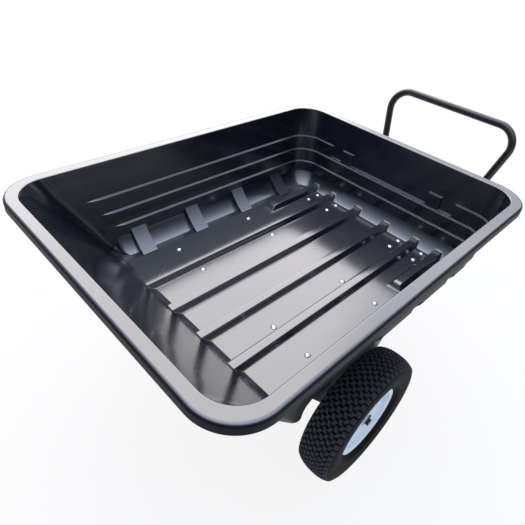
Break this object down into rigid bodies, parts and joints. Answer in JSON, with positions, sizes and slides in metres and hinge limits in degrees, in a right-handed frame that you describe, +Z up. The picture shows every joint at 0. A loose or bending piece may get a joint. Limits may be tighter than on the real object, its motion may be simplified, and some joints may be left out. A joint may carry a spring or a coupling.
{
  "type": "garden tractor trailer",
  "caption": "Tipping garden trailer: moulded black tub with ribbed floor and wide rim on a two-wheel steel frame with push handle, drawbar hitch and parking stand",
  "frame": {"origin": "on the ground, under the middle of the whole trailer's length and width", "axes": "+X runs along the trailer from the tail to the drawbar, +Y to its left side, +Z up"},
  "size_m": [1.585, 0.872, 0.782],
  "materials": {
    "tub_plastic": "moulded polyethylene, glossy black",
    "black_steel": "black powder coat, satin",
    "pale_enamel": "pale enamel, gloss",
    "bright_zinc": "bright zinc plate",
    "polished_chrome": "polished",
    "plain_steel": "plain steel",
    "pale_nylon": "moulded nylon",
    "dark_nylon": "moulded nylon",
    "valve_rubber": "soft rubber",
    "tyre": "turf tyre rubber"
  },
  "bodies": {
    "frame": {"axle": "black_steel", "rear_cross_tube": "black_steel", "front_cross_tube": "black_steel", "drawbar": "black_steel", "hitch_clevis": "black_steel", "stand_bracket": "black_steel", "stand_bolt": "bright_zinc", "latch_bolt": "bright_zinc", "handle": "black_steel", "frame_rail_left": "black_steel", "handle_bolt_left": "bright_zinc", "axle_spacer_left": "plain_steel", "axle_washer_left": "bright_zinc", "cotter_pin_left": "black_steel", "frame_rail_right": "black_steel", "handle_bolt_right": "bright_zinc", "axle_spacer_right": "plain_steel", "axle_washer_right": "bright_zinc", "cotter_pin_right": "black_steel"},
    "tub": {"tub": "tub_plastic", "catch_bar": "black_steel", "axle_support_left": "black_steel", "rest_plate_left": "black_steel", "support_bolt_left_1": "polished_chrome", "support_bolt_left_2": "polished_chrome", "support_bolt_left_3": "polished_chrome", "support_bolt_left_4": "polished_chrome", "rest_bolt_left_1": "polished_chrome", "rest_bolt_left_2": "polished_chrome", "rest_bolt_left_3": "polished_chrome", "rest_bolt_left_4": "polished_chrome", "axle_support_right": "black_steel", "rest_plate_right": "black_steel", "support_bolt_right_1": "polished_chrome", "support_bolt_right_2": "polished_chrome", "support_bolt_right_3": "polished_chrome", "support_bolt_right_4": "polished_chrome", "rest_bolt_right_1": "polished_chrome", "rest_bolt_right_2": "polished_chrome", "rest_bolt_right_3": "polished_chrome", "rest_bolt_right_4": "polished_chrome"},
    "wheel_left": {"tyre_left": "tyre", "wheel_rim_left": "pale_enamel", "hub_left": "pale_enamel", "wheel_bush_inner_left": "pale_nylon", "wheel_bush_outer_left": "pale_nylon", "valve_left": "valve_rubber"},
    "wheel_right": {"tyre_right": "tyre", "wheel_rim_right": "pale_enamel", "hub_right": "pale_enamel", "wheel_bush_inner_right": "pale_nylon", "wheel_bush_outer_right": "pale_nylon", "valve_right": "valve_rubber"},
    "latch": {"latch_lever": "black_steel", "latch_grip": "dark_nylon"},
    "stand": {"stand_leg": "black_steel", "stand_foot": "black_steel"},
    "pin": {"hitch_pin": "bright_zinc"}
  },
  "joints": [
    {"name": "tub_tip", "type": "hinge", "parent": "frame", "child": "tub", "pos_m": [-0.2445, 0, 0.19938], "axis": [0, -1, 0], "range_deg": [0, 50]},
    {"name": "wheel_left_spin", "type": "hinge", "parent": "frame", "child": "wheel_left", "pos_m": [-0.2445, 0.384, 0.19938], "axis": [0, 1, 0], "continuous": true},
    {"name": "wheel_right_spin", "type": "hinge", "parent": "frame", "child": "wheel_right", "pos_m": [-0.2445, -0.384, 0.19938], "axis": [0, 1, 0], "continuous": true},
    {"name": "latch_swing", "type": "hinge", "parent": "frame", "child": "latch", "pos_m": [0.2125, 0, 0.3761], "axis": [0, 1, 0], "range_deg": [-25, 0]},
    {"name": "stand_fold", "type": "hinge", "parent": "frame", "child": "stand", "pos_m": [0.4775, 0, 0.3381], "axis": [0, 1, 0], "range_deg": [0, 93]},
    {"name": "hitch_pin_lift", "type": "slide", "parent": "frame", "child": "pin", "axis": [0, 0, 1], "range_m": [0, 0.09]}
  ]
}
